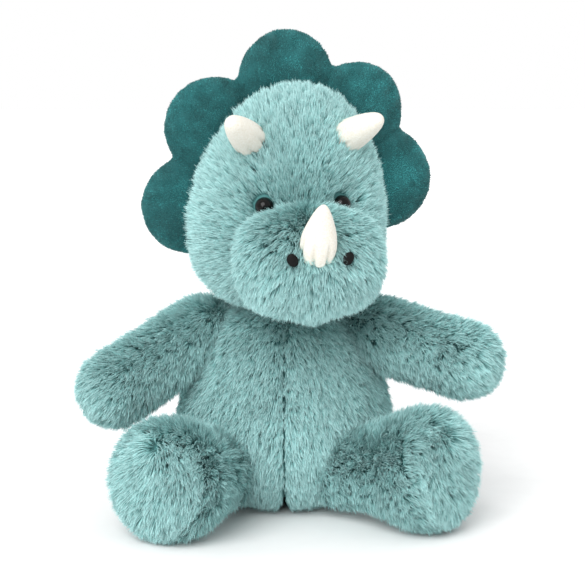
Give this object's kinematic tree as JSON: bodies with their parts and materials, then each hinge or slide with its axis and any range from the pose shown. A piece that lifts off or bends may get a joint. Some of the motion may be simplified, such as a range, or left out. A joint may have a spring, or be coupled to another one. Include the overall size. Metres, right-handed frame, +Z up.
{
  "type": "seated plush horned dinosaur",
  "caption": "Seated stuffed horned dinosaur in long teal fur, with a padded scalloped frill, cloth horns and a weighted seat.",
  "frame": {"origin": "centre of the flat seat on the floor", "axes": "+Z up, the toy faces -Y, its own left is +X"},
  "size_m": [0.2801, 0.2733, 0.316],
  "materials": {
    "teal_fur": "long soft pile, frosted tips",
    "frill_velboa": "short dense pile",
    "ivory_velboa": "short soft pile",
    "polyester_fill": "fluffy polyester fibre",
    "pouch_cloth": "plain woven",
    "pellets": "round plastic pellets",
    "seam_thread": "doubled polyester thread",
    "eye_plastic": "polished black",
    "washer_plastic": "moulded",
    "nostril_thread": "satin stitch",
    "label_satin": "blank woven ribbon"
  },
  "bodies": {
    "torso": {"chest_panel_left": "teal_fur", "chest_panel_right": "teal_fur", "back_panel_left": "teal_fur", "back_panel_right": "teal_fur", "seat_panel": "teal_fur", "torso_stuffing": "polyester_fill", "pellet_pouch": "pouch_cloth", "pellet_fill": "pellets", "closing_stitches": "seam_thread", "care_label": "label_satin"},
    "neck": {"neck_seam_thread": "seam_thread"},
    "head": {"face_panel_left": "teal_fur", "face_panel_right": "teal_fur", "head_back_panel": "teal_fur", "head_stuffing": "polyester_fill", "muzzle_panel_left": "teal_fur", "muzzle_panel_right": "teal_fur", "muzzle_stuffing": "polyester_fill", "frill_front": "frill_velboa", "frill_back": "frill_velboa", "frill_batting": "polyester_fill", "brow_horn_left": "ivory_velboa", "brow_horn_left_stuffing": "polyester_fill", "brow_horn_right": "ivory_velboa", "brow_horn_right_stuffing": "polyester_fill", "nose_horn": "ivory_velboa", "nose_horn_stuffing": "polyester_fill", "eye_left": "eye_plastic", "eye_right": "eye_plastic", "eye_washer_left": "washer_plastic", "eye_washer_right": "washer_plastic", "nostril_left": "nostril_thread", "nostril_right": "nostril_thread"},
    "tail": {"tail_panel_left": "teal_fur", "tail_panel_right": "teal_fur", "tail_stuffing": "polyester_fill"},
    "shoulder_left": {"shoulder_seam_thread_left": "seam_thread"},
    "arm_left": {"arm_top_panel_left": "teal_fur", "arm_under_panel_left": "teal_fur", "arm_stuffing_left": "polyester_fill"},
    "hip_left": {"hip_seam_thread_left": "seam_thread"},
    "leg_left": {"leg_top_panel_left": "teal_fur", "leg_under_panel_left": "teal_fur", "foot_sole_left": "teal_fur", "leg_stuffing_left": "polyester_fill"},
    "shoulder_right": {"shoulder_seam_thread_right": "seam_thread"},
    "arm_right": {"arm_top_panel_right": "teal_fur", "arm_under_panel_right": "teal_fur", "arm_stuffing_right": "polyester_fill"},
    "hip_right": {"hip_seam_thread_right": "seam_thread"},
    "leg_right": {"leg_top_panel_right": "teal_fur", "leg_under_panel_right": "teal_fur", "foot_sole_right": "teal_fur", "leg_stuffing_right": "polyester_fill"}
  },
  "joints": [
    {"name": "head_turn", "type": "hinge", "parent": "torso", "child": "neck", "pos_m": [0, 0, 0.108], "axis": [0, 0, 1], "range_deg": [-46.5, 23.5], "stiffness_Nm_per_rad": 1.2},
    {"name": "head_nod", "type": "hinge", "parent": "neck", "child": "head", "pos_m": [0, 0, 0.108], "axis": [0.9799, 0.1994, 0], "range_deg": [-12, 7], "stiffness_Nm_per_rad": 3},
    {"name": "tail_swing", "type": "hinge", "parent": "torso", "child": "tail", "pos_m": [0, 0.06, 0.03], "axis": [0, 0, 1], "range_deg": [-20, 20], "stiffness_Nm_per_rad": 0.5},
    {"name": "arm_left_swing", "type": "hinge", "parent": "torso", "child": "shoulder_left", "pos_m": [0.053, -0.006, 0.117], "axis": [0, 0, 1], "range_deg": [-8, 14], "stiffness_Nm_per_rad": 0.4},
    {"name": "arm_left_raise", "type": "hinge", "parent": "shoulder_left", "child": "arm_left", "pos_m": [0.053, -0.006, 0.117], "axis": [-0.5, -0.866, 0], "range_deg": [-4, 18], "stiffness_Nm_per_rad": 0.4},
    {"name": "leg_left_spread", "type": "hinge", "parent": "torso", "child": "hip_left", "pos_m": [0.036, -0.042, 0.032], "axis": [0, 0, 1], "range_deg": [-10, 6], "stiffness_Nm_per_rad": 0.6},
    {"name": "leg_left_lift", "type": "hinge", "parent": "hip_left", "child": "leg_left", "pos_m": [0.036, -0.042, 0.032], "axis": [-0.5736, -0.8192, 0], "range_deg": [0, 7], "stiffness_Nm_per_rad": 0.8},
    {"name": "arm_right_swing", "type": "hinge", "parent": "torso", "child": "shoulder_right", "pos_m": [-0.053, -0.006, 0.117], "axis": [0, 0, -1], "range_deg": [-8, 14], "stiffness_Nm_per_rad": 0.4},
    {"name": "arm_right_raise", "type": "hinge", "parent": "shoulder_right", "child": "arm_right", "pos_m": [-0.053, -0.006, 0.117], "axis": [-0.5592, 0.829, 0], "range_deg": [-4, 18], "stiffness_Nm_per_rad": 0.4},
    {"name": "leg_right_spread", "type": "hinge", "parent": "torso", "child": "hip_right", "pos_m": [-0.036, -0.042, 0.032], "axis": [0, 0, -1], "range_deg": [-10, 8], "stiffness_Nm_per_rad": 0.6},
    {"name": "leg_right_lift", "type": "hinge", "parent": "hip_right", "child": "leg_right", "pos_m": [-0.036, -0.042, 0.032], "axis": [-0.848, 0.5299, 0], "range_deg": [0, 12], "stiffness_Nm_per_rad": 0.8}
  ]
}
